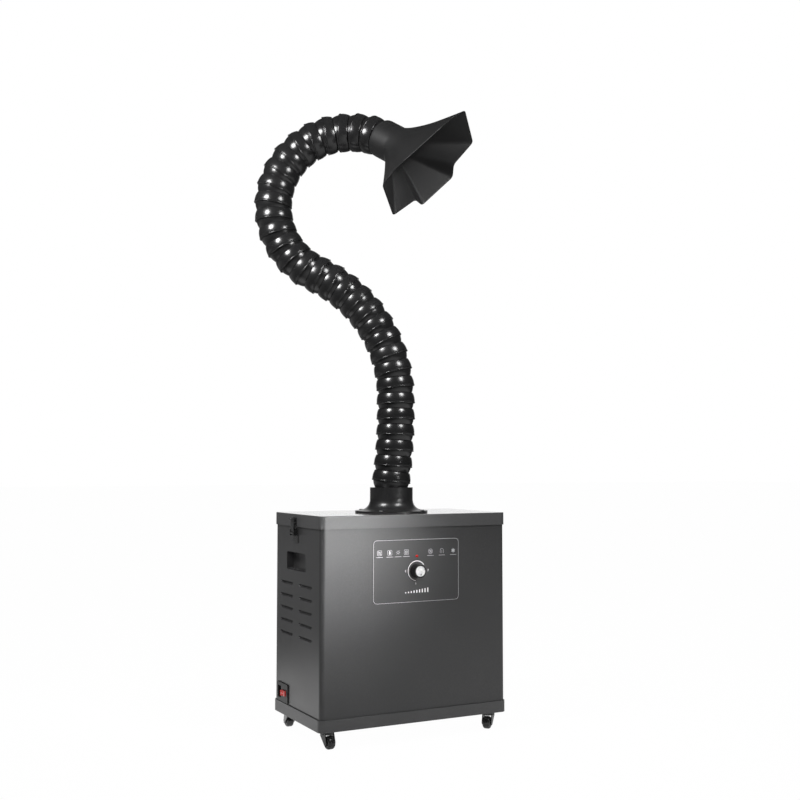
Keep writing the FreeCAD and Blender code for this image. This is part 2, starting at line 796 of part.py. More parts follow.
def make_caster_plate():
    half = caster_plate_size / 2
    plate = rounded(block(-half, half, -half, half, caster_height - caster_plate_thickness, caster_height),
                    z_axis, caster_plate_corner)
    head_top = fork_under - running_fit
    boss = upright(caster_boss_radius, boss_bottom, caster_height - caster_plate_thickness)
    pin = upright(kingpin_radius, head_top, boss_bottom)
    head = upright(kingpin_head_radius, head_top - kingpin_head_height, head_top)
    return plate.fuse([boss, pin, head]).removeSplitter()


def axle_rod(radius, half_width):
    place = vector(caster_trail, 0, wheel_radius)
    return rod(radius, place - y_axis * half_width, place + y_axis * half_width)


def make_fork():
    disc = upright(fork_disc_radius, fork_under, fork_top)
    rear = caster_trail + fork_axle_margin
    outline = [(-fork_cheek_front, fork_top), (fork_cheek_front, fork_top), (rear, wheel_radius),
               (caster_trail + axle_radius, wheel_radius - fork_axle_margin),
               (caster_trail - axle_radius, wheel_radius - fork_axle_margin),
               (-fork_cheek_front, fork_top - fork_cheek_drop)]
    cheeks = []
    for y in (-cheek_outer, cheek_inner):
        corners = [vector(x, y, z) for x, z in outline]
        cheeks.append(prism(corners, y_axis * fork_cheek_thickness))
    fork = disc.fuse(cheeks + [axle_rod(axle_radius, cheek_outer)])
    bore = upright(kingpin_radius + running_fit, fork_under - overrun, fork_top + overrun)
    return fork.cut(bore).removeSplitter()


def make_wheel():
    half = wheel_width / 2
    tyre = axle_rod(wheel_radius, half)
    tyre = tyre.makeFillet(wheel_round, [e for e in tyre.Edges if e.Length > wheel_radius * math.pi])
    rings = []
    for y in (-half - overrun, half - wheel_groove):
        start = vector(caster_trail, y, wheel_radius)
        end = start + y_axis * (wheel_groove + overrun)
        ring = rod(wheel_radius - wheel_round, start, end)
        rings.append(ring.cut(rod(wheel_hub_radius, start, end)))
    return tyre.cut(rings + [axle_rod(axle_radius + running_fit, half + overrun)])


# Inlet flange with a collar that the arm's base turns in.
def screw_places():
    places = []
    for i in range(flange_screw_count):
        angle = 2 * math.pi * (i + 0.5) / flange_screw_count
        places.append(vector(flange_offset_x + flange_screw_circle * math.cos(angle),
                             flange_screw_circle * math.sin(angle), 0))
    return places


def make_flange():
    inner_edge = [(collar_radius, flange_height), (lip_bore, flange_height),
                  (lip_bore, flange_height - collar_lip), (collar_bore, flange_height - collar_lip),
                  (collar_bore, 0), (flange_radius, 0), (flange_radius, flange_edge)]
    points = [profile_point(*p) for p in inner_edge]
    edges = [Part.makeLine(a, b) for a, b in zip(points, points[1:])]
    flare_top = profile_point(collar_radius, collar_flare_height)
    # The flare is a parabola, level at the flange's edge and upright where it meets the collar.
    flare = Part.BezierCurve()
    flare.setPoles([points[-1], profile_point(collar_radius, flange_edge), flare_top])
    edges += [flare.toShape(), Part.makeLine(flare_top, points[0])]
    body = placed(turned(edges), vector(flange_offset_x, 0, lid_top))
    pads = []
    holes = []
    for p in screw_places():
        seat = p + vector(0, 0, lid_top + flange_edge)
        pads.append(rod(screw_pad_radius, seat, seat + z_axis * flange_height))
        holes.append(rod(flange_screw_shank + running_fit, p + vector(0, 0, lid_top - overrun), seat))
    return body.cut(pads + holes)


def make_flange_screws():
    screws = []
    for p in screw_places():
        seat = p + vector(0, 0, lid_top + flange_edge)
        head = rod(flange_screw_head, seat, seat + z_axis * flange_screw_head_height)
        shank = rod(flange_screw_shank, seat - z_axis * flange_screw_depth, seat)
        slot_floor = seat.z + flange_screw_head_height - flange_screw_slot
        slots = []
        for x, y in ((flange_screw_head + overrun, flange_screw_slot / 2),
                     (flange_screw_slot / 2, flange_screw_head + overrun)):
            slots.append(block(p.x - x, p.x + x, p.y - y, p.y + y, slot_floor, slot_floor + overrun))
        screws.append(head.fuse(shank).cut(slots).removeSplitter())
    return Part.makeCompound(screws)


def make_arm_base():
    """The sleeve that turns in the collar, with the ball that carries the first link."""
    lip_clear = collar_lip + running_fit
    sleeve_top = flange_top - lip_clear
    sleeve_outer = collar_bore - running_fit
    neck = lip_bore - running_fit
    ball_low = first_ball_height - math.sqrt(ball_radius ** 2 - neck ** 2)
    ball_top = first_ball_height + ball_cap
    inner_ball = ball_radius - link_wall
    inner_neck = neck - link_wall
    inner_low = first_ball_height - math.sqrt(inner_ball ** 2 - inner_neck ** 2)
    sleeve_inner = sleeve_outer - sleeve_wall
    points = [on_sphere(ball_radius, first_ball_height, ball_low), profile_point(neck, sleeve_top),
              profile_point(sleeve_outer, sleeve_top), profile_point(sleeve_outer, lid_top),
              profile_point(sleeve_inner, lid_top), profile_point(sleeve_inner, sleeve_top - sleeve_wall),
              profile_point(inner_neck, sleeve_top - sleeve_wall),
              on_sphere(inner_ball, first_ball_height, inner_low)]
    edges = [Part.makeLine(a, b) for a, b in zip(points, points[1:])]
    edges.append(sphere_arc(inner_ball, first_ball_height, inner_low, ball_top))
    edges.append(Part.makeLine(on_sphere(inner_ball, first_ball_height, ball_top),
                               on_sphere(ball_radius, first_ball_height, ball_top)))
    edges.append(sphere_arc(ball_radius, first_ball_height, ball_top, ball_low))
    return placed(turned(edges), vector(flange_offset_x, 0, 0))


# One arm link, standing on the centre of the ball below it.
shoulder = link_pitch - lip_drop - shoulder_gap
socket_top = ball_radius * math.sin(bend_limit) + ball_cap + running_fit


def socket_edges():
    """The lip and the inside of a socket, from the barrel down and back up."""
    lip_start = on_sphere(barrel_radius, 0, link_lip_chamfer - link_lip)
    lip_end = profile_point(lip_outer - link_lip_chamfer, -link_lip)
    inner_lip = on_sphere(socket_radius, 0, -link_lip)
    return [Part.makeLine(lip_start, lip_end), Part.makeLine(lip_end, inner_lip),
            sphere_arc(socket_radius, 0, -link_lip, socket_top)]


def make_link():
    ball_top = link_pitch + ball_cap
    inner_ball = ball_radius - link_wall
    inner_low = shoulder + link_wall / 2
    edges = socket_edges()
    points = [on_sphere(socket_radius, 0, socket_top), on_sphere(inner_ball, link_pitch, inner_low)]
    edges.append(Part.makeLine(*points))
    edges.append(sphere_arc(inner_ball, link_pitch, inner_low, ball_top))
    edges.append(Part.makeLine(on_sphere(inner_ball, link_pitch, ball_top),
                               on_sphere(ball_radius, link_pitch, ball_top)))
    edges.append(sphere_arc(ball_radius, link_pitch, ball_top, shoulder))
    edges.append(Part.makeLine(on_sphere(ball_radius, link_pitch, shoulder),
                               on_sphere(barrel_radius, 0, shoulder)))
    edges.append(sphere_arc(barrel_radius, 0, shoulder, link_lip_chamfer - link_lip))
    return turned(edges)


# The route of the arm at rest.
arm_plane = math.radians(arm_plane_degrees)
arm_right = vector(math.cos(arm_plane), -math.sin(arm_plane), 0)
arm_front = vector(-math.sin(arm_plane), -math.cos(arm_plane), 0)


def arm_direction(lean_degrees, front_degrees):
    lean = math.radians(lean_degrees)
    front = math.radians(front_degrees)
    in_plane = arm_right * math.sin(lean) + z_axis * math.cos(lean)
    return in_plane * math.cos(front) + arm_front * math.sin(front)


def arm_route():
    """Ball centre and direction of each link, then of the hood."""
    lean = 0.0
    front = 0.0
    place = vector(flange_offset_x, 0, first_ball_height)
    route = []
    for count, lean_step, front_step in route_degrees:
        for _ in range(count):
            lean += lean_step
            front += front_step
            direction = arm_direction(lean, front)
            route.append((place, direction))
            place = place + direction * link_pitch
    route.append((place, arm_direction(lean + hood_bend_degrees[0], front + hood_bend_degrees[1])))
    return route


# Hood, standing on the last ball with its mouth facing along Z.
def hood_rim():
    back_inner = hood_back_half * hood_back_inner_share
    half = [(hood_tongue_reach, 0), (hood_tongue_reach, hood_tongue_half), (hood_notch_x, hood_notch_y),
            (hood_wing_half, hood_wing_reach), (0, hood_wing_reach), (-hood_wing_half, hood_wing_reach),
            (-hood_back_reach, hood_back_half), (-hood_back_reach, back_inner)]
    other = [(x, -y) for x, y in reversed(half[1:])]
    return half + [(-hood_back_reach, 0)] + other


def horn(inset, stretch):
    """The faceted mouth as a solid; the stretch carries it past both ends."""
    ring = []
    rim = []
    for x, y in hood_rim():
        reach = math.hypot(x, y)
        inner = (barrel_radius - inset) / reach
        outer = (reach - inset) / reach
        start = vector(x * inner, y * inner, hood_neck)
        end = vector(x * outer, y * outer, hood_length)
        along = (end - start) * (stretch / hood_length)
        ring.append(start - along)
        rim.append(end + along)
    count = len(rim)
    faces = [Part.Face(Part.makePolygon(ring + ring[:1])), Part.Face(Part.makePolygon(rim + rim[:1]))]
    for i in range(count):
        j = (i + 1) % count
        for corners in ((ring[i], ring[j], rim[j]), (ring[i], rim[j], rim[i])):
            faces.append(Part.Face(Part.makePolygon(list(corners) + [corners[0]])))
    return Part.Solid(Part.Shell(faces))


def rounded_outline(points, radius):
    """A closed wire with its outward corners rounded."""
    edges = []
    count = len(points)
    last = None
    first = None
    for i in range(count):
        here = points[i]
        before = (points[i - 1] - here).normalize()
        after = (points[(i + 1) % count] - here).normalize()
        turn = before.cross(after).z
        half = before.getAngle(after) / 2
        cut = radius / math.tan(half)
        if turn < 0 and half < math.radians(flat_corner_degrees):
            bisector = (before + after).normalize()
            enter = here + before * cut
            leave = here + after * cut
            middle = here + bisector * (radius / math.sin(half) - radius)
            corner = [Part.Arc(enter, middle, leave).toShape()]
        else:
            enter = here
            leave = here
            corner = []
        if last is not None:
            edges.append(Part.makeLine(last, enter))
        else:
            first = enter
        edges += corner
        last = leave
    edges.append(Part.makeLine(last, first))
    return Part.Wire(edges)


def make_hood():
    throat_radius = socket_radius - link_wall
    edges = socket_edges()
    inner_start = on_sphere(socket_radius, 0, socket_top)
    points = [inner_start, profile_point(inner_start.x, hood_neck), profile_point(barrel_radius, hood_neck),
              profile_point(barrel_radius, 0)]
    edges += [Part.makeLine(a, b) for a, b in zip(points, points[1:])]
    edges.append(sphere_arc(barrel_radius, 0, 0, link_lip_chamfer - link_lip))
    neck = turned(edges)
    corners = [vector(x, y, hood_neck - overrun) for x, y in hood_rim()]
    outline = Part.Face(rounded_outline(corners, hood_corner)).extrude(z_axis * (hood_length + overrun))
    mouth = horn(0, 0).common(outline).cut(horn(hood_wall, overrun))
    bore = upright(throat_radius, hood_neck - overrun, hood_neck + overrun)
    return neck.fuse(mouth).cut(bore).removeSplitter()


def build():
    parts = {
        "cabinet_shell": make_cabinet(),
        "base_tray": make_tray(),
        "lid": make_lid(),
        "lid_gasket": make_gasket(),
        "control_panel": make_panel(),
        "power_lamp": make_lamp(),
        "speed_knob": make_knob(),
        "knob_cap": make_cap(),
        "knob_shaft": make_shaft(),
        "potentiometer": make_pot(),
        "control_board": make_board(),
        "power_inlet": make_inlet(),
        "rocker_switch": make_rocker(),
        "filter_shelf": make_shelf(),
        "main_filter": make_filter(),
        "prefilter": make_prefilter(),
        "blower_housing": make_blower(),
        "impeller": make_impeller(),
        "motor_shaft": make_motor_shaft(),
        "blower_motor": make_motor(),
        "motor_stand": make_stand(),
        "inlet_flange": make_flange(),
        "flange_screws": make_flange_screws(),
        "arm_base": make_arm_base(),
    }
    for name, shape in (("grip_cup", make_grip_cup()), ("latch_base", make_latch_base()),
                        ("latch_hook", make_latch_hook())):
        parts[name + "_left"] = shape
        parts[name + "_right"] = mirrored(shape)
    keeper = make_keeper()
    parts["latch_keepers"] = Part.makeCompound([keeper, mirrored(keeper)])
    plates = []
    plate = make_caster_plate()
    fork = make_fork()
    wheel = make_wheel()
    for corner, (x, y) in caster_places.items():
        turn = caster_turns_degrees[corner]
        place = vector(x, y, 0)
        plates.append(placed(plate, place))
        parts["caster_fork_" + corner] = placed(fork, place, z_axis, turn)
        parts["caster_wheel_" + corner] = placed(wheel, place, z_axis, turn)
    parts["caster_plates"] = Part.makeCompound(plates)
    route = arm_route()
    link = make_link()
    number = 0
    for count in link_group_counts:
        links = [placed(link, *route[number + i]) for i in range(count)]
        first = "arm_link_%02d" % (number + 1)
        name = first if count == 1 else first + "_%02d" % (number + count)
        parts[name] = links[0] if count == 1 else Part.makeCompound(links)
        number += count
    place, direction = route[-1]
    parts["hood"] = placed(make_hood(), place, direction, hood_roll_degrees)
    return parts


os.makedirs("parts", exist_ok=True)
for node, shape in build().items():
    shape.exportStep(os.path.join("parts", node + ".step"))
    print(node, len(shape.Solids), shape.isValid(), round(shape.Volume))
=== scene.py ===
import json
import math
import bmesh
import bpy
import numpy as np
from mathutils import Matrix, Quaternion, Vector


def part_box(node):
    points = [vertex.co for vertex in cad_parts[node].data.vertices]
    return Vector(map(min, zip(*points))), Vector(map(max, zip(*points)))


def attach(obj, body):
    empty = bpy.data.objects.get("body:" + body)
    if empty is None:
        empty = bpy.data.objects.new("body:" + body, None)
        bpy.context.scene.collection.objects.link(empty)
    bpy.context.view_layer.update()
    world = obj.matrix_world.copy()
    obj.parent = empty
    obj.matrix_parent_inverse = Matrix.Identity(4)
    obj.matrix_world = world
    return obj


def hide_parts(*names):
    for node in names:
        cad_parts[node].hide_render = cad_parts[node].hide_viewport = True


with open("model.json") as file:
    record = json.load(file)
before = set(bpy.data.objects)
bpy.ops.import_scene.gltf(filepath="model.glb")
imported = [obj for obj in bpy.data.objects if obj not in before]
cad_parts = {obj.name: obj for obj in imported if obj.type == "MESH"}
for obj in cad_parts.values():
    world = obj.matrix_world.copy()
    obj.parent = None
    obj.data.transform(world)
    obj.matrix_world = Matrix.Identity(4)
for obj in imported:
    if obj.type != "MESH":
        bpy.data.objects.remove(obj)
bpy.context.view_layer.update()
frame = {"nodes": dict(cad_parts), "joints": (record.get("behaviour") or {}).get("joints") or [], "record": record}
nodes = frame["nodes"]
joints = {joint["name"]: joint for joint in frame["joints"]}
bodyOf = {node: body for body, held in frame["record"]["behaviour"]["bodies"].items() for node in held}
mm = 0.001
print("frame loaded:", len(nodes), "nodes")


# Node helpers
def addNode(tree, kind, inputs=None, **settings):
    made = tree.nodes.new(kind)
    for key, value in settings.items():
        setattr(made, key, value)
    for key, value in (inputs or {}).items():
        if isinstance(value, bpy.types.NodeSocket):
            tree.links.new(value, made.inputs[key])
        else:
            made.inputs[key].default_value = value
    return made


def newGroup(name, inputs, outputs):
    tree = bpy.data.node_groups.new(name, "ShaderNodeTree")
    for label, kind, value in inputs:
        socket = tree.interface.new_socket(label, in_out="INPUT", socket_type=kind)
        if value is not None:
            socket.default_value = value
    for label, kind in outputs:
        tree.interface.new_socket(label, in_out="OUTPUT", socket_type=kind)
    return tree, tree.nodes.new("NodeGroupInput"), tree.nodes.new("NodeGroupOutput")


# Grain: a fine height field and a broad patchiness, both from noise in object space.
def makeGrainGroup():
    tree, given, out = newGroup(
        "moulded grain",
        [("Vector", "NodeSocketVector", None), ("Fine Scale", "NodeSocketFloat", 900.0),
         ("Patch Scale", "NodeSocketFloat", 9.0)],
        [("Height", "NodeSocketFloat"), ("Patch", "NodeSocketFloat")])
    fine = addNode(tree, "ShaderNodeTexNoise", {"Vector": given.outputs["Vector"],
                                                "Scale": given.outputs["Fine Scale"], "Detail": 2.0})
    patch = addNode(tree, "ShaderNodeTexNoise", {"Vector": given.outputs["Vector"],
                                                 "Scale": given.outputs["Patch Scale"], "Detail": 4.0})
    tree.links.new(fine.outputs["Fac"], out.inputs["Height"])
    tree.links.new(patch.outputs["Fac"], out.inputs["Patch"])
    return tree


# Dust: a mask of fine specks, thicker where a broad noise is high.
def makeDustGroup():
    tree, given, out = newGroup(
        "settled dust",
        [("Vector", "NodeSocketVector", None), ("Amount", "NodeSocketFloat", 0.1)],
        [("Mask", "NodeSocketFloat")])
    place = given.outputs["Vector"]
    broad = addNode(tree, "ShaderNodeTexNoise", {"Vector": place, "Scale": 6.0, "Detail": 5.0})
    speck = addNode(tree, "ShaderNodeTexNoise", {"Vector": place, "Scale": 420.0, "Detail": 1.0})
    both = addNode(tree, "ShaderNodeMath", {0: broad.outputs["Fac"], 1: speck.outputs["Fac"]},
                   operation="MULTIPLY")
    shaped = addNode(tree, "ShaderNodeMapRange", {"Value": both.outputs[0], "From Min": 0.2, "From Max": 0.5,
                                                  "To Min": 0.0, "To Max": given.outputs["Amount"]})
    tree.links.new(shaped.outputs["Result"], out.inputs["Mask"])
    return tree


grainGroup = makeGrainGroup()
dustGroup = makeDustGroup()
dustTone = (0.32, 0.31, 0.30, 1.0)


# Finish: two tones mixed by patchiness, a little dust, roughness that follows the patches, a fine bump.
def makeFinish(name, look):
    material = bpy.data.materials.new(name)
    material.use_nodes = True
    tree = material.node_tree
    tree.nodes.clear()
    place = addNode(tree, "ShaderNodeTexCoord").outputs["Object"]
    grain = addNode(tree, "ShaderNodeGroup", node_tree=grainGroup)
    grain.inputs["Fine Scale"].default_value = look["fineScale"]
    grain.inputs["Patch Scale"].default_value = look["patchScale"]
    dust = addNode(tree, "ShaderNodeGroup", node_tree=dustGroup)
    dust.inputs["Amount"].default_value = look["dust"]
    tree.links.new(place, grain.inputs["Vector"])
    tree.links.new(place, dust.inputs["Vector"])
    patch = grain.outputs["Patch"]
    tones = addNode(tree, "ShaderNodeMix", data_type="RGBA")  # colour sockets 6 and 7, result 2
    tree.links.new(patch, tones.inputs["Factor"])
    tones.inputs[6].default_value = (*look["dark"], 1.0)
    tones.inputs[7].default_value = (*look["light"], 1.0)
    dusty = addNode(tree, "ShaderNodeMix", data_type="RGBA")
    tree.links.new(dust.outputs["Mask"], dusty.inputs["Factor"])
    tree.links.new(tones.outputs[2], dusty.inputs[6])
    dusty.inputs[7].default_value = dustTone
    rough = addNode(tree, "ShaderNodeMapRange", {"Value": patch, "From Min": 0.3, "From Max": 0.7,
                                                 "To Min": look["smooth"], "To Max": look["rough"]})
    bump = addNode(tree, "ShaderNodeBump", {"Height": grain.outputs["Height"], "Strength": look["bump"],
                                            "Distance": look["bumpDepth"]})
    shader = addNode(tree, "ShaderNodeBsdfPrincipled", {
        "Base Color": dusty.outputs[2], "Roughness": rough.outputs["Result"],
        "Normal": bump.outputs["Normal"], "Metallic": look.get("metallic", 0.0),
        "Specular IOR Level": look.get("specular", 0.5)})
    if "topCoat" in look:  # level faces take a glossier coat
        facing = addNode(tree, "ShaderNodeSeparateXYZ", {
            "Vector": addNode(tree, "ShaderNodeNewGeometry").outputs["Normal"]})
        level = addNode(tree, "ShaderNodeMapRange", {"Value": facing.outputs["Z"], "From Min": 0.8,
                                                     "From Max": 0.98, "To Min": 0.0,
                                                     "To Max": look["topCoat"]})
        tree.links.new(level.outputs["Result"], shader.inputs["Coat Weight"])
        shader.inputs["Coat Roughness"].default_value = look["coatRough"]
    if "glow" in look:
        tree.links.new(dusty.outputs[2], shader.inputs["Emission Color"])
        shader.inputs["Emission Strength"].default_value = look["glow"]
    output = addNode(tree, "ShaderNodeOutputMaterial")
    tree.links.new(shader.outputs["BSDF"], output.inputs["Surface"])
    return material


finishLooks = {
    "charcoalPaint": dict(dark=(0.028, 0.028, 0.0287), light=(0.037, 0.037, 0.0379), smooth=0.34, rough=0.40,
                          fineScale=1400.0, patchScale=7.0, bump=0.10, bumpDepth=0.0002,
                          dust=0.03, topCoat=1.0, coatRough=0.06),
    # painted light: the lid and tray take the cabinet's charcoal paint in a lighter tone, standing in for the
    # extra light their fronts catch
    "paintedLightCharcoal": dict(dark=(0.046, 0.046, 0.047), light=(0.060, 0.060, 0.0612), smooth=0.42, rough=0.47,
                     fineScale=1400.0, patchScale=7.0, bump=0.10, bumpDepth=0.0002,
                     dust=0.03, topCoat=1.0, coatRough=0.06),
    "matteBlack": dict(dark=(0.006, 0.006, 0.0062), light=(0.009, 0.009, 0.0093), smooth=0.42, rough=0.50,
                       fineScale=1500.0, patchScale=18.0, bump=0.05, bumpDepth=0.0002, dust=0.01,
                       specular=0.3),
    "panelFilm": dict(dark=(0.027, 0.027, 0.0277), light=(0.034, 0.034, 0.0348), smooth=0.38, rough=0.44,
                      fineScale=2600.0, patchScale=11.0, bump=0.06, bumpDepth=0.0001, dust=0.02),
    "armPlastic": dict(dark=(0.0065, 0.0065, 0.0068), light=(0.0095, 0.0095, 0.0098), smooth=0.20, rough=0.27,
                       fineScale=700.0, patchScale=20.0, bump=0.03, bumpDepth=0.0002, dust=0.012,
                       specular=0.42),
    "hoodPlastic": dict(dark=(0.005, 0.005, 0.0052), light=(0.008, 0.008, 0.0082), smooth=0.50, rough=0.58,
                        fineScale=1200.0, patchScale=14.0, bump=0.05, bumpDepth=0.0002, dust=0.02,
                        specular=0.28),
    "satinBlack": dict(dark=(0.009, 0.009, 0.0093), light=(0.013, 0.013, 0.0134), smooth=0.28, rough=0.36,
                       fineScale=1500.0, patchScale=18.0, bump=0.05, bumpDepth=0.0002, dust=0.02),
    "casterPlastic": dict(dark=(0.012, 0.012, 0.0123), light=(0.020, 0.020, 0.0204), smooth=0.16, rough=0.26,
                          fineScale=1800.0, patchScale=60.0, bump=0.04, bumpDepth=0.0001, dust=0.05),
    "latchEnamel": dict(dark=(0.012, 0.012, 0.0124), light=(0.020, 0.020, 0.0205), smooth=0.24, rough=0.34,
                        fineScale=2200.0, patchScale=70.0, bump=0.05, bumpDepth=0.0001, dust=0.03),
    "zincSteel": dict(dark=(0.50, 0.51, 0.52), light=(0.66, 0.67, 0.68), smooth=0.28, rough=0.42,
                      metallic=1.0, fineScale=900.0, patchScale=45.0, bump=0.05, bumpDepth=0.0001, dust=0.05),
    "brushedCap": dict(dark=(0.22, 0.22, 0.23), light=(0.99, 0.99, 0.99), smooth=0.26, rough=0.40,
                       metallic=0.6, fineScale=3000.0, patchScale=160.0, bump=0.04, bumpDepth=0.0001,
                       dust=0.0),
    "redRocker": dict(dark=(0.38, 0.014, 0.011), light=(0.50, 0.020, 0.015), smooth=0.24, rough=0.32,
                      fineScale=2500.0, patchScale=80.0, bump=0.03, bumpDepth=0.0001, dust=0.01, glow=0.05),
    "redLens": dict(dark=(0.36, 0.010, 0.008), light=(0.48, 0.014, 0.012), smooth=0.10, rough=0.16,
                    fineScale=2500.0, patchScale=120.0, bump=0.02, bumpDepth=0.0001, dust=0.0, glow=0.12),
    "sealRubber": dict(dark=(0.012, 0.012, 0.012), light=(0.022, 0.022, 0.022), smooth=0.70, rough=0.85,
                       fineScale=2000.0, patchScale=40.0, bump=0.2, bumpDepth=0.0003, dust=0.05),
    "filterFelt": dict(dark=(0.66, 0.66, 0.62), light=(0.84, 0.84, 0.80), smooth=0.85, rough=0.95,
                       fineScale=1600.0, patchScale=16.0, bump=0.6, bumpDepth=0.0008, dust=0.04),
    "motorIron": dict(dark=(0.045, 0.046, 0.048), light=(0.075, 0.076, 0.078), smooth=0.45, rough=0.60,
                      fineScale=700.0, patchScale=24.0, bump=0.3, bumpDepth=0.0004, dust=0.05),
    "boardGreen": dict(dark=(0.010, 0.070, 0.026), light=(0.016, 0.110, 0.040), smooth=0.30, rough=0.40,
                       fineScale=1200.0, patchScale=60.0, bump=0.10, bumpDepth=0.0002, dust=0.02),
    "greyNylon": dict(dark=(0.040, 0.041, 0.043), light=(0.060, 0.061, 0.063), smooth=0.45, rough=0.55,
                      fineScale=900.0, patchScale=30.0, bump=0.10, bumpDepth=0.0003, dust=0.04),
    "panelInk": dict(dark=(0.52, 0.52, 0.53), light=(0.66, 0.66, 0.67), smooth=0.50, rough=0.60,
                     fineScale=3500.0, patchScale=60.0, bump=0.03, bumpDepth=0.00005, dust=0.0),
    "symbolInk": dict(dark=(0.78, 0.78, 0.78), light=(0.88, 0.88, 0.88), smooth=0.40, rough=0.50,
                      fineScale=3500.0, patchScale=60.0, bump=0.03, bumpDepth=0.00005, dust=0.0),
}
finishes = {name: makeFinish(name, look) for name, look in finishLooks.items()}
print("finishes made:", len(finishes))

finishNodes = {
    "charcoalPaint": ["cabinet_shell", "grip_cup_left", "grip_cup_right"],
    # the lid and tray get the lighter copy of the charcoal paint, which is painted light
    "paintedLightCharcoal": ["base_tray", "lid"],
    "panelFilm": ["control_panel"],
    "hoodPlastic": ["hood"],
    "satinBlack": ["inlet_flange", "potentiometer", "arm_base"],
    "matteBlack": ["power_inlet", "speed_knob"],
    "latchEnamel": ["latch_base_left", "latch_base_right", "latch_hook_left", "latch_hook_right",
                    "latch_keepers"],
    "zincSteel": ["filter_shelf", "motor_stand", "knob_shaft", "motor_shaft", "blower_housing",
                  "flange_screws", "caster_plates"],
    "brushedCap": ["knob_cap"],
    "redRocker": ["rocker_switch"],
    "redLens": ["power_lamp"],
    "sealRubber": ["lid_gasket"],
    "filterFelt": ["main_filter", "prefilter"],
    "motorIron": ["blower_motor"],
    "boardGreen": ["control_board"],
    "greyNylon": ["impeller"],
    "casterPlastic": [name for name in nodes if name.startswith("caster_") and name != "caster_plates"],
    "armPlastic": [name for name in nodes if name.startswith("arm_link_")],
}
for finish, named in finishNodes.items():
    for name in named:
        nodes[name].data.materials.clear()
        nodes[name].data.materials.append(finishes[finish])
print("CAD nodes finished:", sum(len(named) for named in finishNodes.values()))


# Mesh helpers
def gridFaces(rows, columns, wrapRows, wrapColumns):
    # one quad for each cell of the grid; a wrapped side joins its last line to its first
    i = np.arange(rows if wrapRows else rows - 1)
    j = np.arange(columns if wrapColumns else columns - 1)
    a, b = (side.ravel() for side in np.meshgrid(i, j, indexing="ij"))
    c, d = (a + 1) % rows, (b + 1) % columns
    return np.stack([a * columns + b, c * columns + b, c * columns + d, a * columns + d], axis=1)


def makePiece(name, grids, body, finish, sharpDegrees=35.0):
    # each grid is (points of shape rows, columns, 3; rows wrap; columns wrap), in metres
    points, faces, start = [], [], 0
    for grid, wrapRows, wrapColumns in grids:
        rows, columns = grid.shape[:2]
        points.append(grid.reshape(-1, 3))
        faces.append(gridFaces(rows, columns, wrapRows, wrapColumns) + start)
        start += rows * columns
    mesh = bpy.data.meshes.new(name)
    mesh.from_pydata(np.concatenate(points).tolist(), [], np.concatenate(faces).tolist())
    return finishPiece(name, mesh, body, finish, sharpDegrees)


def finishPiece(name, mesh, body, finish, sharpDegrees=35.0):
    # merge the closed poles and seams, face everything outwards, keep hard edges hard
    work = bmesh.new()
    work.from_mesh(mesh)
    bmesh.ops.remove_doubles(work, verts=work.verts, dist=1e-7)
    bmesh.ops.dissolve_degenerate(work, edges=work.edges, dist=1e-8)
    bmesh.ops.recalc_face_normals(work, faces=work.faces)
    work.to_mesh(mesh)
    work.free()
    mesh.polygons.foreach_set("use_smooth", np.ones(len(mesh.polygons), dtype=bool))
    mesh.set_sharp_from_angle(angle=math.radians(sharpDegrees))
    mesh.materials.append(finishes[finish])
    piece = bpy.data.objects.new(name, mesh)
    bpy.context.scene.collection.objects.link(piece)
    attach(piece, body)
    return piece


# Arm links, in millimetres
armLink = dict(pitch=33.8, ballRadius=39.2, fit=0.3, wall=2.0, lip=6.0, bendLimit=15.0, shoulderGap=0.4,
               ballCap=4.8, socketRoom=0.5, beadRadius=1.7, beadSink=0.9, beadRise=1.9,
               beadDegrees=(-72.0, 62.0), roundShoulder=0.9, planeDegrees=27.0, around=96, sharpDegrees=50.0,
               route=((1, 6.5, 0.0), (5, -1.66, 0.0), (9, -6.52, 0.0), (1, -1.5, 0.0), (12, 11.78, 0.0),
                      (3, 12.1, 7.7)))


def arc(centreHeight, radius, low, high, count):
    # a stretch of a circle on the axis, from one height to another: r = sqrt(R^2 - (z - c)^2)
    z = np.linspace(low, high, count)
    return np.stack([np.sqrt(radius ** 2 - (z - centreHeight) ** 2), z], axis=1)


def roundCorner(corner, before, after, radius, count):
    # a quadratic curve that leaves the corner's two sides at a given distance
    corner, before, after = (np.asarray(point, dtype=float) for point in (corner, before, after))
    start = corner + (before - corner) / np.linalg.norm(before - corner) * radius
    end = corner + (after - corner) / np.linalg.norm(after - corner) * radius
    t = np.linspace(0.0, 1.0, count)[:, None]
    return (1 - t) ** 2 * start + 2 * t * (1 - t) * corner + t ** 2 * end


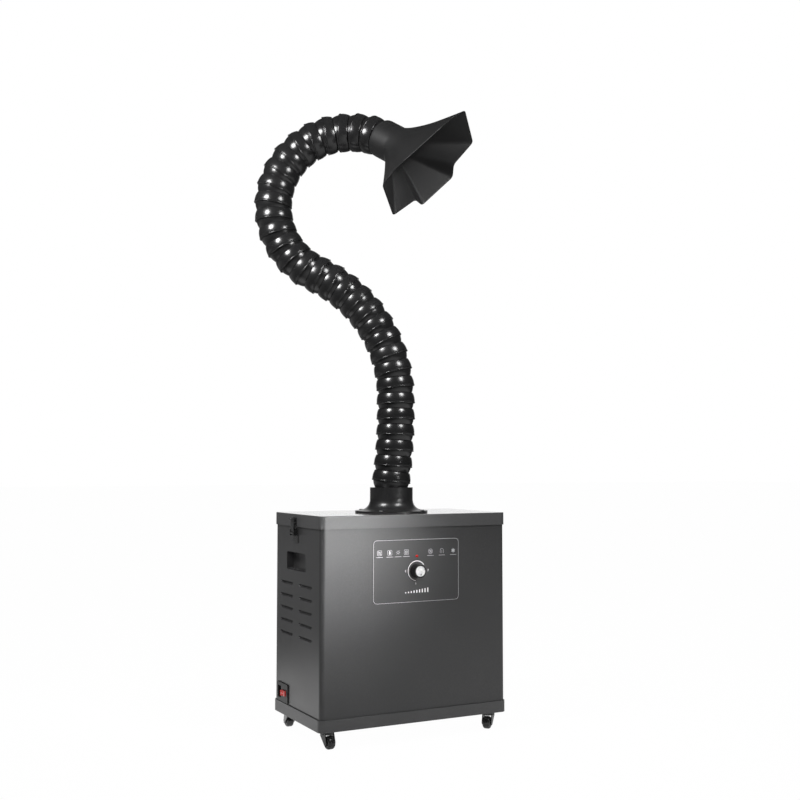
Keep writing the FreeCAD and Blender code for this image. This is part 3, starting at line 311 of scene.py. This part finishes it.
def linkProfile(look):
    # the wall's cross-section: rolled lip, barrel, shoulder, ball, then the inside back down to the lip
    socket = look["ballRadius"] + look["fit"]
    barrel = socket + look["wall"]
    bend = math.radians(look["bendLimit"])
    lipOuter = math.sqrt(barrel ** 2 - look["lip"] ** 2)
    lipDrop = lipOuter * math.sin(bend) + look["lip"] * math.cos(bend)
    shoulder = look["pitch"] - lipDrop - look["shoulderGap"]
    socketTop = look["ballRadius"] * math.sin(bend) + look["ballCap"] + look["fit"] + look["socketRoom"]
    top = look["pitch"] + look["ballCap"]
    innerBall = look["ballRadius"] - look["wall"]
    innerLow = shoulder + look["wall"] / 2
    lipInner = math.sqrt(socket ** 2 - look["lip"] ** 2)
    soft, bead = look["roundShoulder"], look["beadRadius"]
    beadHeight = look["beadRise"] - look["lip"]
    beadCentre = math.sqrt(barrel ** 2 - beadHeight ** 2) - look["beadSink"]
    turn = np.radians(np.linspace(*look["beadDegrees"], 8))
    roll = np.stack([beadCentre + bead * np.cos(turn), beadHeight + bead * np.sin(turn)], axis=1)
    barrelArc = arc(0.0, barrel, beadHeight + bead, shoulder - soft, 15)
    ballArc = arc(look["pitch"], look["ballRadius"], shoulder, top, 9)
    barrelTop = (math.sqrt(barrel ** 2 - shoulder ** 2), shoulder)
    return np.concatenate([
        [((lipInner + beadCentre) / 2, -look["lip"])], roll, barrelArc[:-1],
        roundCorner(barrelTop, barrelArc[-2], ballArc[0], soft, 4),
        ballArc,
        arc(look["pitch"], innerBall, top, innerLow, 6),
        arc(0.0, socket, socketTop, -look["lip"], 6)])


def axesAlong(direction):
    # three unit axes with the last one along the direction
    aside = (0.0, 0.0, 1.0) if abs(direction[2]) < 0.9 else (0.0, 1.0, 0.0)
    side = np.cross(direction, aside)
    side /= np.linalg.norm(side)
    return np.stack([side, np.cross(direction, side), direction])


def lathe(profile, around, origin, axes):
    # (r, z, angle) -> origin + r cos(angle) x + r sin(angle) y + z z
    angle = np.linspace(0.0, 2 * math.pi, around, endpoint=False)
    r, z = profile[:, :1] * mm, profile[:, 1:] * mm
    local = np.stack([r * np.cos(angle), r * np.sin(angle), z + 0 * angle], axis=2)
    return origin + local @ axes


def armRoute(look):
    # every link's ball centre and direction: the bends add up link by link
    steps = np.repeat([row[1:] for row in look["route"]], [row[0] for row in look["route"]], axis=0)
    lean, front = np.radians(np.cumsum(steps, axis=0)).T
    plane = math.radians(look["planeDegrees"])
    right = np.array((math.cos(plane), -math.sin(plane), 0.0))
    forward = np.array((-math.sin(plane), -math.cos(plane), 0.0))
    up = np.array((0.0, 0.0, 1.0))
    inPlane = np.sin(lean)[:, None] * right + np.cos(lean)[:, None] * up
    direction = np.cos(front)[:, None] * inPlane + np.sin(front)[:, None] * forward
    start = np.array(joints["arm_bend_01"]["pos_m"])
    travel = np.vstack([np.zeros(3), np.cumsum(direction, axis=0)[:-1]]) * look["pitch"] * mm
    return start + travel, direction


def makeArm(look):
    profile = linkProfile(look)
    places, directions = armRoute(look)
    for node in sorted(name for name in nodes if name.startswith("arm_link_")):
        numbers = [int(text) for text in node.split("_")[2:]]
        for number in range(numbers[0], numbers[-1] + 1):
            surface = lathe(profile, look["around"], places[number - 1], axesAlong(directions[number - 1]))
            piece = makePiece("linkShell%02d" % number, [(surface, True, True)], bodyOf[node], "armPlastic",
                              look["sharpDegrees"])
            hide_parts(node)


makeArm(armLink)
print("arm links made")

# Hood, in millimetres in its own frame: z runs along the arm's last direction
hoodLook = dict(neck=38.0, bell=53.0, bore=37.6, length=138.0, wall=2.6, edge=0.7, rollDegrees=-10.0,
                soften=8.0, flareRows=16, lastRow=0.994, lipTrim=0.2, socketShare=0.25, sharpDegrees=50.0,
                rim=((85.0, 49.0), (57.0, 61.0), (46.0, 126.0), (-46.0, 126.0), (-56.0, 85.0)),
                rimTurns=(0.0, 30.0, 47.0, 70.0, 110.0, 123.0, 180.0),
                neckTurns=(0.0, 14.0, 27.0, 62.0, 112.0, 130.0, 180.0))


def hoodRim(look):
    # the mouth's outline: straight runs joined by rounded corners, the same on both sides
    half = np.array(look["rim"])
    corners = np.concatenate([half, half[::-1] * (1.0, -1.0)])
    bends = [roundCorner(corner, corners[i - 1], corners[(i + 1) % len(corners)], look["soften"], 7)
             for i, corner in enumerate(corners)]
    runs = [np.concatenate([bend, np.linspace(bend[-1], bends[(i + 1) % len(bends)][0], 14)[1:-1]])
            for i, bend in enumerate(bends)]
    return np.concatenate(runs)


def makeHood(look, link):
    # for each point of the rim: up the round neck, out along a bell curve to that point, and back down inside
    rim = hoodRim(look)
    reach = np.linalg.norm(rim, axis=1, keepdims=True)
    rimWays = rim / reach
    turns = np.degrees(np.arctan2(rim[:, 1], rim[:, 0]))
    spread = np.radians(np.sign(turns) * np.interp(np.abs(turns), look["rimTurns"], look["neckTurns"]))
    ways = np.stack([np.cos(spread), np.sin(spread)], axis=1)
    socket = link["ballRadius"] + link["fit"]
    barrel = socket + link["wall"]
    t = np.append(np.linspace(0.0, look["lastRow"], look["flareRows"]), 1.0)[:, None, None]

    def bell(start, end):
        # quadratic curve (1 - t)^2 a + 2 t (1 - t) b + t^2 c, leaving the neck along its axis
        a, b = (np.insert(ways * start, 2, height, axis=1) for height in (look["neck"], look["bell"]))
        c = np.insert(rimWays * end, 2, look["length"] - look["edge"], axis=1)
        return (1 - t) ** 2 * a + 2 * t * (1 - t) * b + t ** 2 * c

    def rings(profile):
        return np.stack([np.insert(ways * r, 2, z, axis=1) for r, z in profile])

    edge = np.stack([np.insert(rimWays * (reach - inset), 2, look["length"], axis=1)
                     for inset in (look["edge"], look["wall"] - look["edge"])])
    surface = np.concatenate([
        rings(arc(0.0, barrel, look["lipTrim"] - link["lip"], 0.0, 6)),
        bell(barrel, reach), edge, bell(look["bore"], reach - look["wall"])[::-1],
        rings(arc(0.0, socket, look["socketShare"] * socket, -link["lip"], 6))])
    turn = joints["hood_turn"]
    facing = Vector((0.0, 0.0, 1.0)).rotation_difference(Vector(turn["axis"]))
    facing = facing @ Quaternion((0.0, 0.0, 1.0), math.radians(look["rollDegrees"]))
    placed = np.array(turn["pos_m"]) + surface * mm @ np.array(facing.to_matrix()).T
    piece = makePiece("hoodShell", [(placed, True, True)], "hood", "hoodPlastic",
                      look["sharpDegrees"])
    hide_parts("hood")


makeHood(hoodLook, armLink)
print("hood made")


# Sheet-metal and moulded pieces: a merged copy of the CAD piece with flat faces joined and edges rounded
softEdges = {"lid": 0.9, "base_tray": 0.5, "grip_cup_left": 0.4, "grip_cup_right": 0.4, "cabinet_shell": 0.3,
             "latch_base_left": 0.3, "latch_base_right": 0.3, "latch_hook_left": 0.5, "latch_hook_right": 0.5,
             "power_inlet": 0.5, "control_panel": 0.25}
softLook = dict(joinDegrees=0.5, sharpDegrees=35.0, bevelDegrees=50.0, segments=2, flatShare=0.9999)


def makeSoftCopy(node, width, look):
    mesh = nodes[node].data.copy()
    work = bmesh.new()
    work.from_mesh(mesh)
    bmesh.ops.remove_doubles(work, verts=work.verts, dist=1e-6)
    bmesh.ops.dissolve_limit(work, angle_limit=math.radians(look["joinDegrees"]), verts=work.verts,
                             edges=work.edges)
    work.to_mesh(mesh)
    work.free()
    mesh.set_sharp_from_angle(angle=math.radians(look["sharpDegrees"]))
    facing = np.zeros(3 * len(mesh.polygons), dtype=np.float32)
    mesh.polygons.foreach_get("normal", facing)
    curved = np.abs(facing.reshape(-1, 3)).max(axis=1) < look["flatShare"]
    mesh.polygons.foreach_set("use_smooth", curved)  # the flat walls stay flat shaded
    piece = bpy.data.objects.new(node + "_soft", mesh)
    bpy.context.scene.collection.objects.link(piece)
    bevel = piece.modifiers.new("roundedEdges", "BEVEL")
    bevel.width = width * mm
    bevel.segments = look["segments"]
    bevel.limit_method = "ANGLE"
    bevel.angle_limit = math.radians(look["bevelDegrees"])
    bevel.harden_normals = True
    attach(piece, bodyOf[node])
    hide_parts(node)


for node, width in softEdges.items():
    makeSoftCopy(node, width, softLook)
print("soft copies made:", len(softEdges))

# Print on the control panel, in millimetres from the panel's centre line and the floor
panelLow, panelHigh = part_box("control_panel")
knobPlace = joints["speed_knob_turn"]["pos_m"]
panelPrint = dict(ink=0.06, sink=0.02, border=1.5, borderCorner=8.0, borderWidth=0.5, iconHeight=38.5,
                  iconSize=9.6, iconStroke=0.45, captionDrop=8.6, captionWidth=0.6, captionReach=7.4,
                  iconPlaces=(-85.0, -62.0, -43.0, -24.0, 32.0, 59.0, 86.0), dialRadius=20.0, dialThin=0.6,
                  dialThick=1.7, dialStart=262.0, dialEnd=36.0, numberSize=6.0, numberReach=26.0,
                  numbers=(("1", 265.0), ("2", 180.0), ("3", 0.0)),
                  wedgeDrop=40.0, wedgeBars=9, wedgePitch=6.4, wedgeBarWidth=2.4, wedgeLow=2.0, wedgeHigh=9.0)


def ribbon(path, width, closed=False, face=None):
    # a flat bar of ink: a four-cornered section carried along the path, its ends drawn to a point
    path = np.asarray(path, dtype=float)
    width = np.broadcast_to(np.asarray(width, dtype=float), (len(path),))
    if closed:
        along = np.roll(path, -1, axis=0) - np.roll(path, 1, axis=0)
    else:
        along = np.gradient(path, axis=0)
    along = along / np.linalg.norm(along, axis=1, keepdims=True)
    across = np.stack([-along[:, 1], along[:, 0]], axis=1) * width[:, None] / 2
    left, right = path + across, path - across
    depths = (-panelPrint["sink"], panelPrint["ink"])
    corners = [(left, depths[0]), (left, depths[1]), (right, depths[1]), (right, depths[0])]
    rings = np.stack([np.insert(side, 1, depth, axis=1) for side, depth in corners], axis=1)
    if not closed:
        first, last = rings[:1].mean(axis=1, keepdims=True), rings[-1:].mean(axis=1, keepdims=True)
        rings = np.concatenate([np.repeat(first, 4, axis=1), rings, np.repeat(last, 4, axis=1)])
    return (face or onPanel)(rings), closed, True


def onPanel(points):
    # (x, depth out of the panel, height) -> the row frame
    return np.stack([points[..., 0], panelLow.y / mm - points[..., 1], points[..., 2]], axis=-1) * mm


def circle(x, z, radius, start=0.0, end=360.0, count=40):
    angle = np.radians(np.linspace(start, end, count, endpoint=end - start < 360.0))
    return np.stack([x + radius * np.cos(angle), z + radius * np.sin(angle)], axis=1)


def roundedFrame(x, z, halfWidth, halfHeight, corner, count=8):
    corners = ((1, 1, 0.0), (-1, 1, 90.0), (-1, -1, 180.0), (1, -1, 270.0))
    return np.concatenate([circle(x + sx * (halfWidth - corner), z + sz * (halfHeight - corner), corner, turn,
                                  turn + 90.0, count) for sx, sz, turn in corners])


def line(x0, z0, x1, z1, count=2):
    t = np.linspace(0.0, 1.0, count)[:, None]
    return (1 - t) * np.array((x0, z0)) + t * np.array((x1, z1))


def iconShapes(x, z, size, stroke):
    # seven plain signs: smoke, heat, light, mesh, fan, outlet and clean air
    half = size / 2
    frameLine = ribbon(roundedFrame(x, z, half, half, size * 0.15), stroke, True)
    wave = np.linspace(-0.34, 0.34, 15)
    ripple = 0.09 * size * np.sin(wave * 18)
    smoke = [ribbon(np.stack([x + size * wave, z + level * size + ripple], axis=1), stroke)
             for level in (-0.22, 0.0, 0.22)]
    t = np.linspace(0.0, 1.0, 12)
    drop = ribbon(np.stack([x + 0 * t, z + size * (0.36 - 0.7 * t)], axis=1),
                  0.55 * size * np.sqrt(np.clip(t * (1.25 - t), 0.0, 1.0)) + 0.2)
    rays = [ribbon(line(x + 0.30 * size * math.cos(a), z + 0.30 * size * math.sin(a),
                        x + 0.48 * size * math.cos(a), z + 0.48 * size * math.sin(a)), stroke)
            for a in np.radians(np.arange(0.0, 360.0, 45.0))]
    mesh = [ribbon(line(x + s * size, z - 0.34 * size, x + s * size, z + 0.34 * size), stroke * 0.8)
            for s in (-0.2, 0.0, 0.2)]
    mesh += [ribbon(line(x - 0.34 * size, z + s * size, x + 0.34 * size, z + s * size), stroke * 0.8)
             for s in (-0.2, 0.0, 0.2)]
    out, bow = size * 0.36 * t, size * 0.16 * np.sin(math.pi * t)
    blades = [ribbon(np.stack([x + out * math.cos(a) - bow * math.sin(a),
                               z + out * math.sin(a) + bow * math.cos(a)], axis=1),
                     stroke * (0.6 + 1.3 * np.sin(math.pi * t)))
              for a in np.radians(np.arange(20.0, 380.0, 90.0))]
    ring = ribbon(circle(x, z, half), stroke, True)
    wide, high = half * 0.8, z + half * 0.2
    hoop = np.concatenate([line(x - wide, z - half, x - wide, high, 3)[:-1],
                           circle(x, high, wide, 180.0, 0.0, 14),
                           line(x + wide, high, x + wide, z - half, 3)[1:]])
    outlet = [ribbon(hoop, stroke), ribbon(line(x, z - half, x, z + half * 0.3), stroke)]
    star = np.radians(np.arange(90.0, 450.0, 60.0))
    clean = [ribbon(line(x, z, x + half * math.cos(a), z + half * math.sin(a), 5),
                    np.linspace(0.40, 0.06, 5) * size) for a in star]
    return [[frameLine] + smoke, [frameLine, drop], [ribbon(circle(x, z, 0.2 * size), stroke, True)] + rays,
            [frameLine] + mesh, [ring] + blades, outlet, clean]


def makePanelPrint(look):
    x = (panelLow.x + panelHigh.x) / 2 / mm
    z = (panelLow.z + panelHigh.z) / 2 / mm
    halfWidth = (panelHigh.x - panelLow.x) / 2 / mm - look["border"]
    halfHeight = (panelHigh.z - panelLow.z) / 2 / mm - look["border"]
    outline = roundedFrame(x, z, halfWidth, halfHeight, look["borderCorner"])
    border = [ribbon(outline, look["borderWidth"], True)]
    makePiece("panelBorderLine", border, "cabinet", "panelInk")
    knobX, knobZ = knobPlace[0] / mm, knobPlace[2] / mm
    icons = []
    iconZ = knobZ + look["iconHeight"]
    base, reach = iconZ - look["captionDrop"], look["captionReach"]
    for index, shift in enumerate(look["iconPlaces"]):
        icons += iconShapes(x + shift, iconZ, look["iconSize"], look["iconStroke"])[index]
        icons.append(ribbon(line(x + shift - reach, base, x + shift + reach, base), look["captionWidth"]))
    makePiece("panelIcons", icons, "cabinet", "panelInk")
    sweep = circle(knobX, knobZ, look["dialRadius"], look["dialStart"], look["dialEnd"], 60)
    dial = [ribbon(sweep, np.linspace(look["dialThin"], look["dialThick"], 60))]
    for bar in range(look["wedgeBars"]):
        left = knobX + (bar - (look["wedgeBars"] - 1) / 2) * look["wedgePitch"]
        tall = look["wedgeLow"] + (look["wedgeHigh"] - look["wedgeLow"]) * bar / (look["wedgeBars"] - 1)
        low = knobZ - look["wedgeDrop"] - look["wedgeHigh"] / 2
        dial.append(ribbon(line(left, low, left, low + tall), look["wedgeBarWidth"]))
    makePiece("speedScale", dial, "cabinet", "symbolInk")
    for text, turn in look["numbers"]:
        angle = math.radians(turn)
        makeNumber(text, knobX + look["numberReach"] * math.cos(angle),
                   knobZ + look["numberReach"] * math.sin(angle), look)


def makeNumber(text, x, z, look):
    letters = bpy.data.curves.new("dialText", "FONT")
    letters.body = text
    letters.size = look["numberSize"]
    letters.extrude = look["ink"]
    letters.align_x = "CENTER"
    letters.align_y = "CENTER"
    holder = bpy.data.objects.new("dialText", letters)
    bpy.context.scene.collection.objects.link(holder)
    bpy.context.view_layer.update()
    mesh = bpy.data.meshes.new_from_object(holder.evaluated_get(bpy.context.evaluated_depsgraph_get()))
    bpy.data.objects.remove(holder)
    flat = np.empty(len(mesh.vertices) * 3)
    mesh.vertices.foreach_get("co", flat)
    flat = flat.reshape(-1, 3)
    placed = onPanel(np.stack([flat[:, 0] + x, flat[:, 2], flat[:, 1] + z], axis=1))
    mesh.vertices.foreach_set("co", placed.ravel())
    mesh.materials.clear()
    finishPiece("dialNumber" + text, mesh, "cabinet", "symbolInk")


makePanelPrint(panelPrint)
print("panel print made")

# Signs on the rocker, in millimetres about its pivot: a bar for on and a ring for off
rockerSigns = dict(crest=3.886, slope=4.286 / 16.5, restDegrees=9.0, offset=5.6, barLength=3.2, stroke=0.7,
                   ringRadius=1.5, ringStroke=0.49)


def onRocker(points):
    # (along y, depth out of the face, height) -> the sloped face, then turned to the rocker's rest tilt
    pivot = np.array(joints["power_switch_tilt"]["pos_m"]) / mm
    out = -(rockerSigns["crest"] + np.abs(points[..., 0]) * rockerSigns["slope"] + points[..., 1])
    turn = math.radians(rockerSigns["restDegrees"])
    x = out * math.cos(turn) - points[..., 0] * math.sin(turn)
    y = out * math.sin(turn) + points[..., 0] * math.cos(turn)
    return (np.stack([x, y, points[..., 2]], axis=-1) + pivot) * mm


def makeRockerSigns(look):
    half = look["barLength"] / 2
    bar = line(look["offset"], -half, look["offset"], half, 3)
    ring = circle(-look["offset"], 0.0, look["ringRadius"], count=24)
    signs = [ribbon(bar, look["stroke"], False, onRocker), ribbon(ring, look["ringStroke"], True, onRocker)]
    makePiece("rockerSigns", signs, "rocker", "symbolInk")


makeRockerSigns(rockerSigns)
print("rocker signs made")


# Stage: floor, world, lamps and camera
stageLook = dict(floorHalf=30.0, floorTone=(0.90, 0.90, 0.90, 1.0), whiteShare=0.988, fill=0.30, dimRoom=0.05,
                 backTurn=27.45, backWide=0.84, backFull=0.97, floorDim=0.05, poolEdge=0.6,
                 pools=(dict(place=(-0.40, 0.34, 0.0), reach=0.66, glow=1.3),
                        dict(place=(0.85, -1.45, 0.0), reach=2.40, glow=1.05),
                        dict(place=(-2.60, 4.60, 0.0), reach=5.00, glow=0.42)))
lampLooks = {
    "leftBox": dict(place=(-0.95, -0.25, 1.45), aim=(0.0, 0.0, 0.85), size=0.38, watts=9.0, spread=120.0),
    "rightBox": dict(place=(0.24, -0.95, 1.45), aim=(0.0, 0.0, 0.85), size=0.40, watts=6.5, spread=120.0),
    "topBox": dict(place=(0.25, 0.15, 2.60), aim=(0.0, 0.0, 0.40), size=1.2, watts=9.0, spread=150.0,
                   mirrored=False),
    "frontBox": dict(place=(0.16, -0.85, 0.60), aim=(-0.20, -0.124, 0.35), size=0.28, watts=0.6, spread=28.0),
}
cameraLook = dict(place=(-1.06807, -2.10493, 0.55285), yaw=27.45, pitch=3.51, lens=49.13, sensor=36.0)


def makeFloor(look):
    # white to the camera but for the shadow; reflections see a few pools of light on a dim floor
    mesh = bpy.data.meshes.new("floor")
    h = look["floorHalf"]
    mesh.from_pydata([(-h, -h, 0.0), (h, -h, 0.0), (h, h, 0.0), (-h, h, 0.0)], [], [(0, 1, 2, 3)])
    material = bpy.data.materials.new("paleFloor")
    material.use_nodes = True
    tree = material.node_tree
    tree.nodes.clear()
    plain = addNode(tree, "ShaderNodeBsdfDiffuse", {"Color": look["floorTone"]})
    spot = addNode(tree, "ShaderNodeTexCoord").outputs["Object"]
    bright = look["floorDim"]
    for pool in look["pools"]:
        scale = 1 / pool["reach"]
        centre = tuple(-side * scale for side in pool["place"])
        place = addNode(tree, "ShaderNodeMapping", {"Vector": spot, "Scale": (scale, scale, 1.0),
                                                    "Location": centre})
        ball = addNode(tree, "ShaderNodeTexGradient", {"Vector": place.outputs["Vector"]},
                       gradient_type="SPHERICAL")
        lit = addNode(tree, "ShaderNodeMapRange", {"Value": ball.outputs["Fac"], "From Min": 0.0,
                                                   "From Max": look["poolEdge"], "To Min": look["floorDim"],
                                                   "To Max": pool["glow"]})
        most = addNode(tree, "ShaderNodeMath", {0: bright, 1: lit.outputs["Result"]}, operation="MAXIMUM")
        bright = most.outputs[0]
    strength = addNode(tree, "ShaderNodeMix", data_type="FLOAT")
    tree.links.new(addNode(tree, "ShaderNodeLightPath").outputs["Is Camera Ray"], strength.inputs["Factor"])
    tree.links.new(bright, strength.inputs[2])
    strength.inputs[3].default_value = 1.0
    white = addNode(tree, "ShaderNodeEmission", {"Color": (1.0, 1.0, 1.0, 1.0),
                                                 "Strength": strength.outputs[0]})
    share = addNode(tree, "ShaderNodeMath", {0: seenRays(tree), 1: look["whiteShare"]}, operation="MULTIPLY")
    mixed = addNode(tree, "ShaderNodeMixShader", {"Fac": share.outputs[0]})
    tree.links.new(plain.outputs["BSDF"], mixed.inputs[1])
    tree.links.new(white.outputs["Emission"], mixed.inputs[2])
    output = addNode(tree, "ShaderNodeOutputMaterial")
    tree.links.new(mixed.outputs["Shader"], output.inputs["Surface"])
    mesh.materials.append(material)
    floor = bpy.data.objects.new("floor", mesh)
    bpy.context.scene.collection.objects.link(floor)


def seenRays(tree):
    # 1 for camera, glossy and transmission rays, 0 for the light that falls on the object
    path = addNode(tree, "ShaderNodeLightPath").outputs
    first = addNode(tree, "ShaderNodeMath", {0: path["Is Camera Ray"], 1: path["Is Glossy Ray"]},
                    operation="MAXIMUM")
    second = addNode(tree, "ShaderNodeMath", {0: first.outputs[0], 1: path["Is Transmission Ray"]},
                     operation="MAXIMUM")
    return second.outputs[0]


def makeWorld(look):
    # white backdrop: all round for the camera, straight behind the object for reflections, and a dim room
    world = bpy.data.worlds.new("studio")
    bpy.context.scene.world = world
    world.use_nodes = True
    tree = world.node_tree
    tree.nodes.clear()
    way = addNode(tree, "ShaderNodeTexCoord").outputs["Generated"]
    turn = math.radians(look["backTurn"])
    back = addNode(tree, "ShaderNodeVectorMath", {0: way, 1: (math.sin(turn), math.cos(turn), 0.0)},
                   operation="DOT_PRODUCT")
    sides = addNode(tree, "ShaderNodeMapRange", {"Value": back.outputs["Value"], "From Min": look["backWide"],
                                                 "From Max": look["backFull"], "To Min": look["dimRoom"],
                                                 "To Max": 1.0})
    path = addNode(tree, "ShaderNodeLightPath").outputs
    seen = addNode(tree, "ShaderNodeMath", {0: sides.outputs["Result"], 1: path["Is Camera Ray"]},
                   operation="MAXIMUM")
    strength = addNode(tree, "ShaderNodeMix", data_type="FLOAT")
    tree.links.new(seenRays(tree), strength.inputs["Factor"])
    strength.inputs[2].default_value = look["fill"]
    tree.links.new(seen.outputs[0], strength.inputs[3])
    shade = addNode(tree, "ShaderNodeBackground", {"Color": (1.0, 1.0, 1.0, 1.0)})
    tree.links.new(strength.outputs[0], shade.inputs["Strength"])
    output = addNode(tree, "ShaderNodeOutputWorld")
    tree.links.new(shade.outputs["Background"], output.inputs["Surface"])


def makeLamps(looks):
    for name, look in looks.items():
        lamp = bpy.data.lights.new(name, "AREA")
        lamp.shape = "DISK"
        lamp.size = look["size"]
        lamp.energy = look["watts"]
        lamp.spread = math.radians(look["spread"])
        holder = bpy.data.objects.new(name, lamp)
        holder.location = look["place"]
        way = Vector(look["aim"]) - Vector(look["place"])
        holder.rotation_euler = way.to_track_quat("-Z", "Y").to_euler()
        holder.visible_glossy = look.get("mirrored", True)
        bpy.context.scene.collection.objects.link(holder)


def makeCamera(look):
    camera = bpy.data.cameras.new("photoCamera")
    camera.lens = look["lens"]
    camera.sensor_width = look["sensor"]
    holder = bpy.data.objects.new("photoCamera", camera)
    holder.location = look["place"]
    holder.rotation_euler = (math.radians(90.0 + look["pitch"]), 0.0, -math.radians(look["yaw"]))
    bpy.context.scene.collection.objects.link(holder)
    bpy.context.scene.camera = holder


makeFloor(stageLook)
makeWorld(stageLook)
makeLamps(lampLooks)
makeCamera(cameraLook)
bpy.context.scene.view_settings.view_transform = "Standard"
print("stage made")
